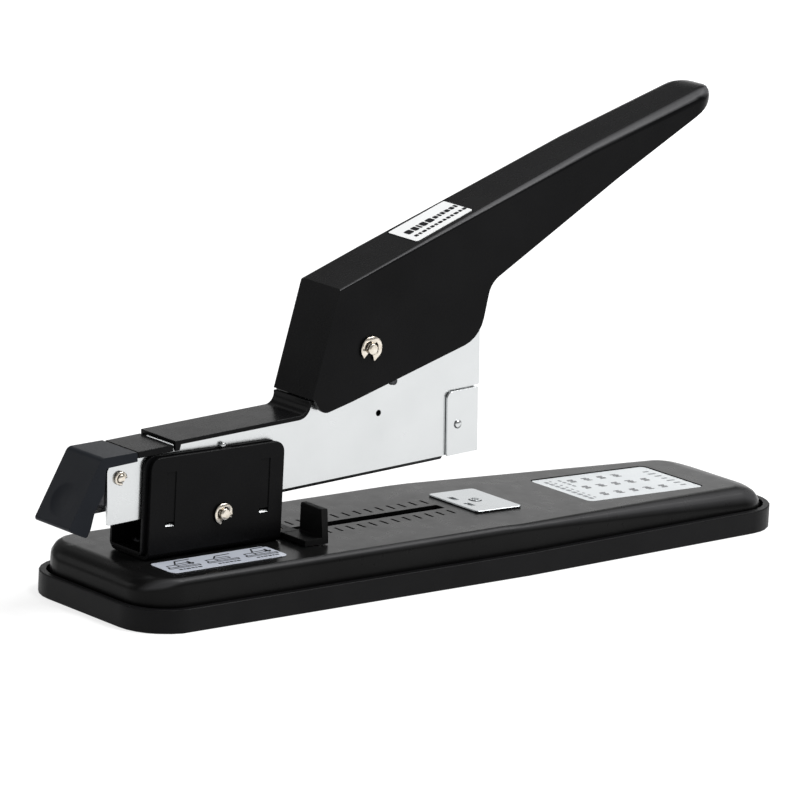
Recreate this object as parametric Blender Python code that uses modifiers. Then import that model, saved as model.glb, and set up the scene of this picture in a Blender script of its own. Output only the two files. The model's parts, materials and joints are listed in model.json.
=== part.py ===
"""Long reach heavy duty stapler, built as separate closed solids in metres, +Z up.

X runs along the base from the bracket end to the mouth end, Y is the far side, Z is up.
Sizes in the constants are millimetres.  The arm, the handle and the latch are drawn in
frames that sit on their own pivot pins, so each one swings about its parent empty.
"""
import math

import bmesh
import bpy
from mathutils import Matrix, Vector

MM = 0.001

# base
BASE_LEFT = -148.5
BASE_RIGHT = 150.0
BASE_HALF = 37.9
TAPER_START = 20.5
TAPER = 0.048
TRAY_HEIGHT = 8.4
TRAY_FLOOR = 2.0
TRAY_WALL = 2.5
SHELL_INSET = 3.4
SHELL_TOP = 18.2
SHELL_BOTTOM = 2.4
SHEET = 1.2
SLOPE_START = 11.5
SLOPE = 0.0205
SLOT_HALF = 2.45
SLOT_LEFT = -69.5
SLOT_RIGHT = 9.2
TICK_PITCH = 5.12
TICK_LAST = 7.7
TICK_COUNT = 15
TICK_INNER = 5.2
TICK_OUTER = 10.1
TICK_WIDTH = 1.1
TICK_DEPTH = 0.4
LABEL_SINK = 0.5
LABEL_GAP = 0.5
LABEL_SHEET = 0.2

# bracket and arm pivot
BRACKET_LEFT = -129.6
BRACKET_RIGHT = -72.0
BRACKET_HALF = 11.0
BRACKET_SHEET = 1.5
BRACKET_TOP = 54.5
LINER_HALF = 9.2
LINER_SHEET = 1.1
LINER_TOP = 54.9
PIVOT_X = -98.2
PIVOT_Z = 31.6
ARM_TILT = math.radians(2.8)
PIN_RADIUS = 2.0
PIN_HOLE = 2.3

# arm, in the tilted frame on the arm pivot
ARM_HALF = 7.75
ARM_SHEET = 1.0
ARM_REAR = -46.9
ARM_FRONT = 117.2
ARM_NOSE = 114.6
ARM_BOTTOM = 2.87
ARM_REAR_BOTTOM = 3.0
ARM_TOP = 27.35
COVER_HALF = 9.9
HANDLE_PIN_U = 64.75
HANDLE_PIN_V = 48.6
LATCH_PIN_U = -41.6
LATCH_PIN_V = 19.05
THUMB_U = -18.38
THUMB_V = -6.29
THUMB_RADIUS = 6.8
THUMB_DEPTH = 0.75
BLADE_BACK = 113.5
BLADE_FRONT = 114.5
BLADE_TIP = 17.5
BLADE_TOP = 61.5
ROD_V = 15.4
NOSE_RIVET_U = 106.7
NOSE_RIVET_V = 13.8

# handle, in the level frame on the handle pin
HANDLE_HALF = 11.0
HANDLE_SHEET = 1.4
TOP_DISTANCE = 26.15
TOP_SLOPE = math.radians(19.84)
TAIL_KNEE = 100.0
TAIL_SLOPE = math.radians(17.7)
HANDLE_REAR = -14.5
HANDLE_TAIL = 158.9
TAIL_ROUND = 9.4
TAIL_FALL = 12.0
TAIL_DROP = 5.0
DRIVE_PIN_X = 42.5
DRIVE_PIN_Z = 10.0

for old in list(bpy.data.objects):
    bpy.data.objects.remove(old, do_unlink=True)

scene = bpy.context.scene
parts = bpy.data.collections.new("long_reach_stapler")
scene.collection.children.link(parts)
cutters = bpy.data.collections.new("cutters")
scene.collection.children.link(cutters)

materials = {}


def material(name, colour, roughness, metallic):
    """One Principled material per sub-part."""
    made = bpy.data.materials.new(name)
    made.use_nodes = True
    shader = made.node_tree.nodes["Principled BSDF"]
    shader.inputs["Base Color"].default_value = (*colour, 1.0)
    shader.inputs["Roughness"].default_value = roughness
    shader.inputs["Metallic"].default_value = metallic
    return made


BLACK_PAINT = ((0.018, 0.018, 0.02), 0.45, 0.0)
BLACK_PLASTIC = ((0.016, 0.017, 0.02), 0.55, 0.0)
ZINC = ((0.74, 0.76, 0.78), 0.3, 1.0)
NICKEL = ((0.78, 0.75, 0.7), 0.22, 1.0)
SPRING_STEEL = ((0.45, 0.45, 0.46), 0.35, 1.0)
DARK_STEEL = ((0.05, 0.05, 0.055), 0.4, 0.8)
LABEL_WHITE = ((0.8, 0.82, 0.84), 0.5, 0.0)
LABEL_SILVER = ((0.6, 0.61, 0.63), 0.4, 0.3)


def rounded(corners, steps=5):
    """Closed outline with each (x, y, radius) corner turned into an arc."""
    out = []
    count = len(corners)
    for i, (x, y, radius) in enumerate(corners):
        here = Vector((x, y))
        before = Vector(corners[i - 1][:2]) - here
        after = Vector(corners[(i + 1) % count][:2]) - here
        if radius <= 0:
            out.append((x, y))
            continue
        half = before.angle(after) / 2
        reach = radius / math.tan(half)
        centre = here + (before.normalized() + after.normalized()).normalized() * (
            radius / math.sin(half)
        )
        start = here + before.normalized() * reach - centre
        end = here + after.normalized() * reach - centre
        turn = math.atan2(start.x * end.y - start.y * end.x, start.dot(end))
        for k in range(steps + 1):
            a = turn * k / steps
            point = Vector(
                (
                    start.x * math.cos(a) - start.y * math.sin(a),
                    start.x * math.sin(a) + start.y * math.cos(a),
                )
            )
            out.append(tuple(centre + point))
    return out


def place(name, mesh, look, parent=None, smooth=False, cutter=False):
    """Object with its origin at the middle of its mesh, in the parent's frame."""
    low = Vector([min(v.co[i] for v in mesh.vertices) for i in range(3)])
    high = Vector([max(v.co[i] for v in mesh.vertices) for i in range(3)])
    middle = (low + high) / 2
    mesh.transform(Matrix.Translation(-middle))
    mesh.transform(Matrix.Scale(MM, 4))
    obj = bpy.data.objects.new(name, mesh)
    obj.location = middle * MM
    if parent is not None:
        obj.parent = parent
    if smooth:
        for face in mesh.polygons:
            face.use_smooth = True
    if cutter:
        cutters.objects.link(obj)
        obj.hide_render = True
        obj.display_type = "WIRE"
    else:
        mesh.materials.append(material(name, *look))
        parts.objects.link(obj)
    return obj


def tidy(mesh):
    """Weld doubled points and face every polygon outwards."""
    bm = bmesh.new()
    bm.from_mesh(mesh)
    bmesh.ops.remove_doubles(bm, verts=bm.verts, dist=0.0005)
    bmesh.ops.recalc_face_normals(bm, faces=bm.faces)
    bm.to_mesh(mesh)
    bm.free()
    return mesh


def from_curve(curve):
    """Mesh of a filled or bevelled curve."""
    holder = bpy.data.objects.new("outline", curve)
    scene.collection.objects.link(holder)
    bpy.context.view_layer.update()
    graph = bpy.context.evaluated_depsgraph_get()
    mesh = bpy.data.meshes.new_from_object(holder.evaluated_get(graph))
    bpy.data.objects.remove(holder, do_unlink=True)
    bpy.data.curves.remove(curve)
    return tidy(mesh)


TURN = {
    "X": Matrix(((0, 0, 1, 0), (1, 0, 0, 0), (0, 1, 0, 0), (0, 0, 0, 1))),
    "Y": Matrix(((1, 0, 0, 0), (0, 0, -1, 0), (0, 1, 0, 0), (0, 0, 0, 1))),
    "Z": Matrix.Identity(4),
}
SHIFT = {"X": Vector((1, 0, 0)), "Y": Vector((0, 1, 0)), "Z": Vector((0, 0, 1))}


def prism(name, outline, low, high, axis, look=None, parent=None, smooth=False):
    """Outline carried from low to high along an axis; without a look it is a cutter."""
    curve = bpy.data.curves.new(name, "CURVE")
    curve.dimensions = "2D"
    curve.fill_mode = "BOTH"
    curve.extrude = (high - low) / 2
    spline = curve.splines.new("POLY")
    spline.points.add(len(outline) - 1)
    for point, (a, b) in zip(spline.points, outline):
        point.co = (a, b, 0.0, 1.0)
    spline.use_cyclic_u = True
    mesh = from_curve(curve)
    mesh.transform(TURN[axis])
    mesh.transform(Matrix.Translation(SHIFT[axis] * ((low + high) / 2)))
    return place(name, tidy(mesh), look, parent, smooth, cutter=look is None)


def block(name, low, high, look=None, parent=None):
    """Rectangular solid between two corners."""
    mesh = bpy.data.meshes.new(name)
    bm = bmesh.new()
    bmesh.ops.create_cube(bm, size=1.0)
    size = Vector(high) - Vector(low)
    middle = (Vector(high) + Vector(low)) / 2
    bmesh.ops.scale(bm, vec=size, verts=bm.verts)
    bmesh.ops.translate(bm, vec=middle, verts=bm.verts)
    bm.to_mesh(mesh)
    bm.free()
    return place(name, mesh, look, parent, cutter=look is None)


def blocks(name, spans, parent=None):
    """Cutter made of several separate rectangular solids."""
    mesh = bpy.data.meshes.new(name)
    bm = bmesh.new()
    for low, high in spans:
        size = Vector(high) - Vector(low)
        middle = (Vector(high) + Vector(low)) / 2
        made = bmesh.ops.create_cube(bm, size=1.0)["verts"]
        bmesh.ops.scale(bm, vec=size, verts=made)
        bmesh.ops.translate(bm, vec=middle, verts=made)
    bm.to_mesh(mesh)
    bm.free()
    return place(name, mesh, None, parent, cutter=True)


def rod(name, radius, centre, low, high, axis, look=None, parent=None, sides=24):
    """Plain cylinder along an axis."""
    mesh = bpy.data.meshes.new(name)
    bm = bmesh.new()
    bmesh.ops.create_cone(
        bm,
        cap_ends=True,
        segments=sides,
        radius1=radius,
        radius2=radius,
        depth=high - low,
    )
    bm.to_mesh(mesh)
    bm.free()
    mesh.transform(TURN[axis])
    a, b = centre
    where = {"X": (0, a, b), "Y": (a, 0, b), "Z": (a, b, 0)}[axis]
    mesh.transform(Matrix.Translation(Vector(where) + SHIFT[axis] * ((low + high) / 2)))
    return place(name, tidy(mesh), look, parent, look is not None, cutter=look is None)


def rods(name, radius, centres, low, high, axis, parent=None, sides=24):
    """Cutter made of several separate cylinders; a third number is that one's radius."""
    mesh = bpy.data.meshes.new(name)
    bm = bmesh.new()
    for a, b, *own in centres:
        size = own[0] if own else radius
        made = bmesh.ops.create_cone(
            bm,
            cap_ends=True,
            segments=sides,
            radius1=size,
            radius2=size,
            depth=high - low,
        )["verts"]
        where = {"X": (0, a, b), "Y": (a, 0, b), "Z": (a, b, 0)}[axis]
        bmesh.ops.transform(bm, matrix=TURN[axis], verts=made)
        shift = Vector(where) + SHIFT[axis] * ((low + high) / 2)
        bmesh.ops.translate(bm, vec=shift, verts=made)
    bm.to_mesh(mesh)
    bm.free()
    return place(name, tidy(mesh), None, parent, cutter=True)


def lathe(name, profile, centre, axis, look, parent=None, sides=24):
    """Turned solid: (radius, height) pairs from its top to its bottom, on an axis."""
    mesh = bpy.data.meshes.new(name)
    bm = bmesh.new()
    made = [bm.verts.new((r * MM, 0.0, h * MM)) for r, h in profile]
    for a, b in zip(made, made[1:]):
        bm.edges.new((a, b))
    bm.to_mesh(mesh)
    bm.free()
    obj = bpy.data.objects.new(name, mesh)
    obj.location = Vector(centre) * MM
    turn = {"X": (0, math.pi / 2, 0), "Y": (math.pi / 2, 0, 0), "Z": (0, 0, 0)}[axis]
    obj.rotation_euler = turn
    if parent is not None:
        obj.parent = parent
    spin = obj.modifiers.new("turned", "SCREW")
    spin.axis = "Z"
    spin.angle = 2 * math.pi
    spin.steps = sides
    spin.render_steps = sides
    spin.use_merge_vertices = True
    spin.merge_threshold = 0.000005
    spin.use_smooth_shade = True
    mesh.materials.append(material(name, *look))
    parts.objects.link(obj)
    return obj


def wire(name, points, radius, look, parent=None):
    """Round wire along a path, with closed ends."""
    curve = bpy.data.curves.new(name, "CURVE")
    curve.dimensions = "3D"
    curve.bevel_depth = radius
    curve.bevel_resolution = 2
    curve.use_fill_caps = True
    spline = curve.splines.new("POLY")
    spline.points.add(len(points) - 1)
    for point, co in zip(spline.points, points):
        point.co = (*co, 1.0)
    return place(name, from_curve(curve), look, parent, smooth=True)


def loft(name, rings, look=None, parent=None, smooth=False):
    """Skin through rings that all have the same number of points, closed at both ends."""
    mesh = bpy.data.meshes.new(name)
    bm = bmesh.new()
    made = [[bm.verts.new(p) for p in ring] for ring in rings]
    count = len(rings[0])
    for a, b in zip(made, made[1:]):
        for i in range(count):
            j = (i + 1) % count
            bm.faces.new((a[i], a[j], b[j], b[i]))
    bm.faces.new(made[0])
    bm.faces.new(made[-1])
    bm.to_mesh(mesh)
    bm.free()
    return place(name, tidy(mesh), look, parent, smooth, cutter=look is None)


def combine(obj, other, operation="DIFFERENCE"):
    """Exact boolean of one solid with a cutter."""
    step = obj.modifiers.new(other.name, "BOOLEAN")
    step.operation = operation
    step.solver = "EXACT"
    step.object = other
    return obj


def soften(obj, width, segments=2, angle=40.0):
    """Small rounded edge wherever two faces meet sharply."""
    step = obj.modifiers.new("edge", "BEVEL")
    step.width = width * MM
    step.segments = segments
    step.limit_method = "ANGLE"
    step.angle_limit = math.radians(angle)
    return obj


def frame(name, location, tilt=0.0, parent=None):
    """Empty that carries the pieces of one moving group."""
    obj = bpy.data.objects.new(name, None)
    obj.empty_display_size = 0.01
    obj.location = Vector(location) * MM
    obj.rotation_euler = (0.0, tilt, 0.0)
    if parent is not None:
        obj.parent = parent
    parts.objects.link(obj)
    return obj


# ------------------------------------------------------------------ frames

arm_axis = frame("arm_axis", (PIVOT_X, 0, PIVOT_Z), -ARM_TILT)
handle_axis = frame("handle_axis", (HANDLE_PIN_U, 0, HANDLE_PIN_V), ARM_TILT, arm_axis)
latch_axis = frame("latch_axis", (LATCH_PIN_U, 0, LATCH_PIN_V), 0.0, arm_axis)
slope_frame = frame("slope_frame", (SLOPE_START, 0, SHELL_TOP), math.atan(SLOPE))

# ------------------------------------------------------------------ base


def half_width(x):
    """Half width of the tray at x; the base narrows evenly towards the mouth."""
    return BASE_HALF - TAPER * max(0.0, x - TAPER_START)


def base_plan(inset, left_radius, right_radius, steps):
    """Plan outline of the base, moved in by an inset."""
    left = BASE_LEFT + inset
    right = BASE_RIGHT - inset
    corners = [
        (left, -(half_width(left) - inset), left_radius),
        (TAPER_START, -(BASE_HALF - inset), 0),
        (right, -(half_width(right) - inset), right_radius),
        (right, half_width(right) - inset, right_radius),
        (TAPER_START, BASE_HALF - inset, 0),
        (left, half_width(left) - inset, left_radius),
    ]
    return rounded(corners, steps)


base_tray = prism(
    "base_tray", base_plan(0.0, 17.5, 19.0, 7), 0.0, TRAY_HEIGHT, "Z", BLACK_PLASTIC
)
soften(base_tray, 0.9)
combine(
    base_tray,
    prism("tray_pocket", base_plan(TRAY_WALL, 15.0, 16.5, 7), TRAY_FLOOR, 12.0, "Z"),
)

SCREW_SPOTS = ((-118.0, -24.0), (-118.0, 24.0), (118.0, -19.0), (118.0, 19.0))
combine(base_tray, rods("tray_screw_holes", 1.9, SCREW_SPOTS, -1.0, 5.0, "Z", sides=16))
combine(base_tray, rods("tray_screw_seats", 3.8, SCREW_SPOTS, -1.0, 1.1, "Z", sides=16))


def shell_rings(inset, top, bottom, steps=6):
    """Rings of the domed shell, from its bottom edge to its flat top."""
    plan = base_plan(SHELL_INSET + inset, 15.0, 16.5, steps)
    count = len(plan)
    normals = []
    for i in range(count):
        ahead = Vector(plan[(i + 1) % count])
        behind = Vector(plan[i - 1])
        run = (ahead - behind).normalized()
        normals.append(Vector((run.y, -run.x)))
    rings = [[(x, y, bottom) for x, y in plan]]
    levels = 5
    for k in range(levels + 1):
        a = math.pi / 2 * k / levels
        ring = []
        for (x, y), n in zip(plan, normals):
            to_left = max(0.0, -n.x) ** 2
            to_right = max(0.0, n.x) ** 2
            side = n.y * n.y
            side_round = 2.5 + 0.05 * max(0.0, x - TAPER_START)
            reach = to_left * 8.0 + to_right * 14.0 + side * side_round
            drop = to_left * 6.0 + to_right * 9.0 + side * (side_round + 0.5)
            pull = reach * (1.0 - math.cos(a))
            z = top - drop * (1.0 - math.sin(a))
            ring.append((x - n.x * pull, y - n.y * pull, z))
        rings.append(ring)
    return rings


def slope_top(obj):
    """Split a shell solid where the top starts to fall and lower what lies beyond."""
    mesh = obj.data
    start = (SLOPE_START * MM) - obj.location.x
    bm = bmesh.new()
    bm.from_mesh(mesh)
    bmesh.ops.bisect_plane(
        bm,
        geom=bm.verts[:] + bm.edges[:] + bm.faces[:],
        plane_co=(start, 0, 0),
        plane_no=(1, 0, 0),
    )
    for v in bm.verts:
        share = (v.co.z + obj.location.z) / (SHELL_TOP * MM)
        v.co.z -= SLOPE * max(0.0, v.co.x - start) * max(0.0, share)
    bm.to_mesh(mesh)
    bm.free()
    return obj


base_shell = loft(
    "base_shell", shell_rings(0.0, SHELL_TOP, SHELL_BOTTOM), BLACK_PAINT, smooth=True
)
slope_top(base_shell)
shell_inside = loft("shell_inside", shell_rings(SHEET, SHELL_TOP - SHEET, 0.0))
slope_top(shell_inside)
combine(base_shell, shell_inside)
left_posts = rods("left_posts", 2.9, SCREW_SPOTS[:2], 2.6, 17.5, "Z", sides=16)
combine(base_shell, left_posts, "UNION")
right_posts = rods("right_posts", 2.9, SCREW_SPOTS[2:], 2.6, 15.3, "Z", sides=16)
combine(base_shell, right_posts, "UNION")
combine(base_shell, rods("post_bores", 1.75, SCREW_SPOTS, 1.0, 10.0, "Z", sides=12))
slot_plan = rounded(
    [
        (SLOT_LEFT, -SLOT_HALF, 2.2),
        (SLOT_RIGHT, -SLOT_HALF, 0.5),
        (SLOT_RIGHT, SLOT_HALF, 0.5),
        (SLOT_LEFT, SLOT_HALF, 2.2),
    ],
    4,
)
combine(base_shell, prism("stop_slot", slot_plan, 15.0, 20.0, "Z"))
ticks = []
for k in range(TICK_COUNT):
    x = TICK_LAST - TICK_PITCH * k
    for side in (-1, 1):
        y0 = side * (TICK_INNER + TICK_OUTER) / 2 - (TICK_OUTER - TICK_INNER) / 2
        y1 = y0 + TICK_OUTER - TICK_INNER
        low = (x - TICK_WIDTH / 2, y0, SHELL_TOP - TICK_DEPTH)
        ticks.append((low, (x + TICK_WIDTH / 2, y1, SHELL_TOP + 1)))
combine(base_shell, blocks("scale_marks", ticks))
RIVET_SPOTS = ((-121.5, -5.2), (-121.5, 5.2), (-86.5, -5.2), (-86.5, 5.2))
combine(base_shell, rods("shell_rivet_holes", 2.1, RIVET_SPOTS, 15.0, 20.0, "Z", sides=12))

for k, (x, y) in enumerate(SCREW_SPOTS):
    lathe(
        f"tray_screw_{k + 1}",
        [
            (0, 9.4),
            (1.2, 9.4),
            (1.5, 8.9),
            (1.5, 0.95),
            (3.4, 0.95),
            (3.4, 0.35),
            (2.9, 0.1),
            (0, 0.1),
        ],
        (x, y, 0),
        "Z",
        NICKEL,
        sides=12,
    )

anvil_plan = rounded([(3.0, -14.1, 1.5), (24.2, -14.1, 1.5), (24.2, 14.1, 1.5), (3.0, 14.1, 1.5)], 3)
anvil_plate = prism("anvil_plate", anvil_plan, 0.08, 0.78, "Z", ZINC, slope_frame)
soften(anvil_plate, 0.2, 1)
GROOVES = []
for side in (-1, 1):
    GROOVES.append(((6.0, side * 4.6 - 2.1, 0.33), (8.4, side * 4.6 + 2.1, 2.0)))
combine(anvil_plate, blocks("clinch_grooves", GROOVES, slope_frame))
combine(anvil_plate, rod("anvil_rivet_hole", 2.2, (13.7, 0), -0.5, 1.5, "Z", None, slope_frame))
combine(base_shell, rod("anvil_shell_hole", 2.2, (13.7, 0), -3.0, 1.5, "Z", None, slope_frame))
lathe(
    "anvil_rivet",
    [
        (0, 0.15),
        (0.7, 0.25),
        (1.1, 0.95),
        (1.9, 1.05),
        (2.5, 0.86),
        (1.95, 0.86),
        (1.95, -1.5),
        (3.2, -1.5),
        (2.8, -2.3),
        (0, -2.3),
    ],
    (13.7, 0, 0),
    "Z",
    ZINC,
    slope_frame,
)


def plate_outline(left, right, half, radius, grow=0.0):
    """Rounded rectangle about the X axis, made larger all round by grow."""
    return rounded(
        [
            (left - grow, -half - grow, radius + grow),
            (right + grow, -half - grow, radius + grow),
            (right + grow, half + grow, radius + grow),
            (left - grow, half + grow, radius + grow),
        ],
        4,
    )


DATA_SPAN = (53.8, 108.6, 16.9, 2.0)
label_bottom = 0.04 - LABEL_SINK
prism(
    "data_label",
    plate_outline(*DATA_SPAN),
    label_bottom,
    label_bottom + LABEL_SHEET,
    "Z",
    LABEL_WHITE,
    slope_frame,
)
data_seat = plate_outline(*DATA_SPAN, LABEL_GAP)
combine(base_shell, prism("data_seat", data_seat, -LABEL_SINK, 1.5, "Z", None, slope_frame))
guide_plan = rounded(
    [(-131.3, -27.5, 2.2), (-81.2, -27.5, 2.2), (-81.2, -13.5, 2.2), (-131.3, -13.5, 2.2)], 4
)
prism("loading_label", guide_plan, SHELL_TOP + 0.04, SHELL_TOP + 0.24, "Z", LABEL_WHITE)

# ------------------------------------------------------------------ bracket


def u_section(half, sheet, bottom, top, bend):
    """Upright U outline across Y, with rounded bends at the foot."""
    inner = half - sheet
    return rounded(
        [
            (-half, bottom, bend),
            (half, bottom, bend),
            (half, top, 0),
            (inner, top, 0),
            (inner, bottom + sheet, max(0.3, bend - sheet)),
            (-inner, bottom + sheet, max(0.3, bend - sheet)),
            (-inner, top, 0),
            (-half, top, 0),
        ],
        4,
    )


bracket = prism(
    "bracket",
    u_section(BRACKET_HALF, BRACKET_SHEET, SHELL_TOP + 0.1, BRACKET_TOP, 2.6),
    BRACKET_LEFT,
    BRACKET_RIGHT,
    "X",
    BLACK_PAINT,
)
bracket_side = rounded(
    [
        (BRACKET_LEFT, 10.0, 0),
        (BRACKET_RIGHT, 10.0, 0),
        (BRACKET_RIGHT, BRACKET_TOP, 4.0),
        (BRACKET_LEFT, BRACKET_TOP, 4.0),
    ],
    5,
)
combine(bracket, prism("bracket_trim", bracket_side, -20.0, 20.0, "Y"), "INTERSECT")
soften(bracket, 0.3, 2)
slots = [
    ((PIVOT_X + dx - 2.0, -20.0, 29.7), (PIVOT_X + dx + 2.0, 20.0, 31.2)) for dx in (-22.6, 18.1)
]
combine(bracket, blocks("bracket_windows", slots))
ribs = []
for dx in (-22.6, 18.1):
    for side in (-1, 1):
        ribs.append(
            (
                (PIVOT_X + dx - 2.0, side * 11.5 - 0.9, 31.1),
                (PIVOT_X + dx + 2.0, side * 11.5 + 0.9, 49.0),
            )
        )
combine(bracket, blocks("bracket_grooves", ribs))
combine(bracket, rod("bracket_pin_hole", PIN_HOLE, (PIVOT_X, PIVOT_Z), -20, 20, "Y"))
combine(bracket, rods("bracket_rivet_holes", 2.1, RIVET_SPOTS, 15.0, 21.0, "Z", sides=12))

liner_left = BRACKET_LEFT - 1.6
liner_right = BRACKET_RIGHT - 1.8
liner = prism(
    "bracket_liner",
    u_section(LINER_HALF, LINER_SHEET, SHELL_TOP + 1.9, LINER_TOP, 1.6),
    liner_left,
    liner_right,
    "X",
    BLACK_PAINT,
)
liner_side = rounded(
    [
        (liner_left, 10.0, 0),
        (liner_right, 10.0, 0),
        (liner_right, LINER_TOP, 3.5),
        (PIVOT_X + 4.2, LINER_TOP, 0.6),
        (PIVOT_X + 2.6, LINER_TOP - 1.2, 0.6),
        (PIVOT_X - 1.0, LINER_TOP - 1.2, 0.6),
        (PIVOT_X - 2.6, LINER_TOP, 0.6),
        (liner_left, LINER_TOP, 3.5),
    ],
    4,
)
combine(liner, prism("liner_trim", liner_side, -20.0, 20.0, "Y"), "INTERSECT")
combine(liner, rod("liner_pin_hole", PIN_HOLE, (PIVOT_X, PIVOT_Z), -20, 20, "Y"))
combine(liner, rods("liner_rivet_holes", 2.1, RIVET_SPOTS, 15.0, 23.0, "Z", sides=12))

for k, (x, y) in enumerate(RIVET_SPOTS):
    lathe(
        f"bracket_rivet_{k + 1}",
        [
            (0, 22.6),
            (1.6, 22.6),
            (2.8, 21.5),
            (1.8, 21.5),
            (1.8, 16.6),
            (2.9, 16.6),
            (2.5, 15.6),
            (0, 15.6),
        ],
        (x, y, 0),
        "Z",
        DARK_STEEL,
        sides=12,
    )


def pin_profile(half, radius, groove, clip_at, clip_wide):
    """Plain pin with a clip groove near each end."""
    return [
        (0, half),
        (radius - 0.25, half),
        (radius, half - 0.25),
        (radius, clip_at + clip_wide),
        (groove, clip_at + clip_wide),
        (groove, clip_at),
        (radius, clip_at),
        (radius, -clip_at),
        (groove, -clip_at),
        (groove, -clip_at - clip_wide),
        (radius, -clip_at - clip_wide),
        (radius, -half + 0.25),
        (radius - 0.25, -half),
        (0, -half),
    ]


def clip_outline(cx, cz, outer, opening, half_mouth, tooth=1.75):
    """E-clip: open ring with three teeth that sit in the pin groove."""
    ring = outer * 0.7
    start = math.radians(opening)
    mouth = math.radians(half_mouth)
    points = []
    first = start + mouth
    last = start + 2 * math.pi - mouth
    for k in range(25):
        a = first + (last - first) * k / 24
        points.append((cx + outer * math.cos(a), cz + outer * math.sin(a)))
    marks = [
        (0.0, tooth),
        (0.11, tooth),
        (0.13, ring),
        (0.22, ring),
        (0.32, ring),
        (0.42, ring),
        (0.44, tooth),
        (0.5, tooth),
        (0.56, tooth),
        (0.58, ring),
        (0.68, ring),
        (0.78, ring),
        (0.87, ring),
        (0.89, tooth),
        (1.0, tooth),
    ]
    for share, radius in marks:
        a = last + (first - last) * share
        points.append((cx + radius * math.cos(a), cz + radius * math.sin(a)))
    return points


lathe(
    "arm_pivot_pin",
    pin_profile(13.0, PIN_RADIUS, 1.5, 11.25, 0.9),
    (PIVOT_X, 0, PIVOT_Z),
    "Y",
    NICKEL,
)
pivot_clip = clip_outline(PIVOT_X, PIVOT_Z, 3.75, -68.0, 40.0)
prism("pivot_clip_near", pivot_clip, -12.05, -11.35, "Y", NICKEL)
prism("pivot_clip_far", pivot_clip, 11.35, 12.05, "Y", NICKEL)

for side, where in ((-1, "near"), (1, "far")):
    stud = lathe(
        f"liner_stud_{where}",
        [(0, 0.68), (0.8, 0.6), (1.2, 0.3), (1.2, -0.3), (0.8, -0.6), (0, -0.68)],
        (PIVOT_X + 0.8, side * 8.63, LINER_TOP + 0.25),
        "Y",
        ZINC,
        sides=16,
    )


def coil(turns, radius, low, high, steps=12, flat=0.75):
    """Points of a compression spring that stands on Z, with closed end turns."""
    out = []
    total = int(turns * steps)
    for k in range(total + 1):
        t = k / steps
        if t < flat:
            lift = 0.0
        elif t > turns - flat:
            lift = 1.0
        else:
            lift = (t - flat) / (turns - 2 * flat)
        a = 2 * math.pi * t
        out.append((radius * math.cos(a), radius * math.sin(a), low + (high - low) * lift + t * 0.01))
    return out


SPRING_X = -77.6
arm_spring = [(SPRING_X + x, y, z) for x, y, z in coil(4.5, 3.4, 22.1, 33.0, 10)]
wire("arm_return_spring", arm_spring, 0.5, SPRING_STEEL)

# ------------------------------------------------------------------ paper stop

STOP_LEFT = -69.8
STOP_RIGHT = -59.5
STOP_FOOT = 20.7
STOP_TOP = 31.2
STOP_LEAN = 1.05
STOP_SHEET = 2.8
stop_side = rounded(
    [
        (STOP_LEFT, SHELL_TOP + 0.3, 0.3),
        (STOP_RIGHT, SHELL_TOP + 0.3, 0.3),
        (STOP_RIGHT - STOP_LEAN, STOP_TOP, 0.6),
        (STOP_RIGHT - STOP_LEAN - STOP_SHEET, STOP_TOP, 0.6),
        (STOP_RIGHT - STOP_SHEET, STOP_FOOT, 0.6),
        (STOP_LEFT, STOP_FOOT, 0.5),
    ],
    3,
)
stop_bar = prism("stop_bar", stop_side, -22.0, 22.0, "Y", BLACK_PLASTIC)
stop_mouth = [
    (-9.15, STOP_FOOT),
    (9.15, STOP_FOOT),
    (10.4, STOP_TOP),
    (10.4, 40.0),
    (-10.4, 40.0),
    (-10.4, STOP_TOP),
]
combine(stop_bar, prism("stop_gap", stop_mouth, -80, -50, "X"))
combine(stop_bar, block("stop_relief", (-80, -8.0, 19.4), (-50, 8.0, 40)))
combine(stop_bar, rod("stop_screw_hole", 1.35, (-64.2, 0), 10, 30, "Z"))
soften(stop_bar, 0.25, 1)
slider_section = [
    (-6.0, 15.3),
    (6.0, 15.3),
    (6.0, 16.6),
    (2.1, 16.6),
    (2.1, 18.3),
    (-2.1, 18.3),
    (-2.1, 16.6),
    (-6.0, 16.6),
]
stop_slider = prism("stop_slider", slider_section, -67.4, -61.0, "X", DARK_STEEL)
combine(stop_slider, rod("slider_screw_hole", 1.35, (-64.2, 0), 10, 30, "Z"))
lathe(
    "stop_screw",
    [(0, 19.3), (1.05, 19.3), (1.05, 14.9), (2.2, 14.9), (2.2, 13.9), (1.8, 13.6), (0, 13.6)],
    (-64.2, 0, 0),
    "Z",
    NICKEL,
    sides=16,
)

# ------------------------------------------------------------------ arm

arm_side = rounded(
    [
        (ARM_REAR, ARM_REAR_BOTTOM, 0.6),
        (-9.5, ARM_REAR_BOTTOM, 1.5),
        (-6.2, -6.2, 5.0),
        (6.2, -6.2, 5.0),
        (9.5, ARM_BOTTOM, 1.5),
        (ARM_NOSE, ARM_BOTTOM, 0.4),
        (ARM_NOSE, 26.7, 0.4),
        (ARM_FRONT, 26.7, 0.4),
        (ARM_FRONT, 53.5, 2.5),
        (99.5, 57.2, 4.0),
        (57.8, 57.0, 7.0),
        (44.0, 34.3, 6.0),
        (37.0, ARM_TOP, 6.0),
        (-18.4, ARM_TOP, 0.5),
        (-19.4, 25.9, 0.5),
        (-33.4, 25.9, 0.5),
        (-34.4, 24.1, 0.5),
        (ARM_REAR, 24.1, 2.6),
    ],
    5,
)
arm_channel = prism("arm_channel", arm_side, -ARM_HALF, ARM_HALF, "Y", ZINC, arm_axis)
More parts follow.
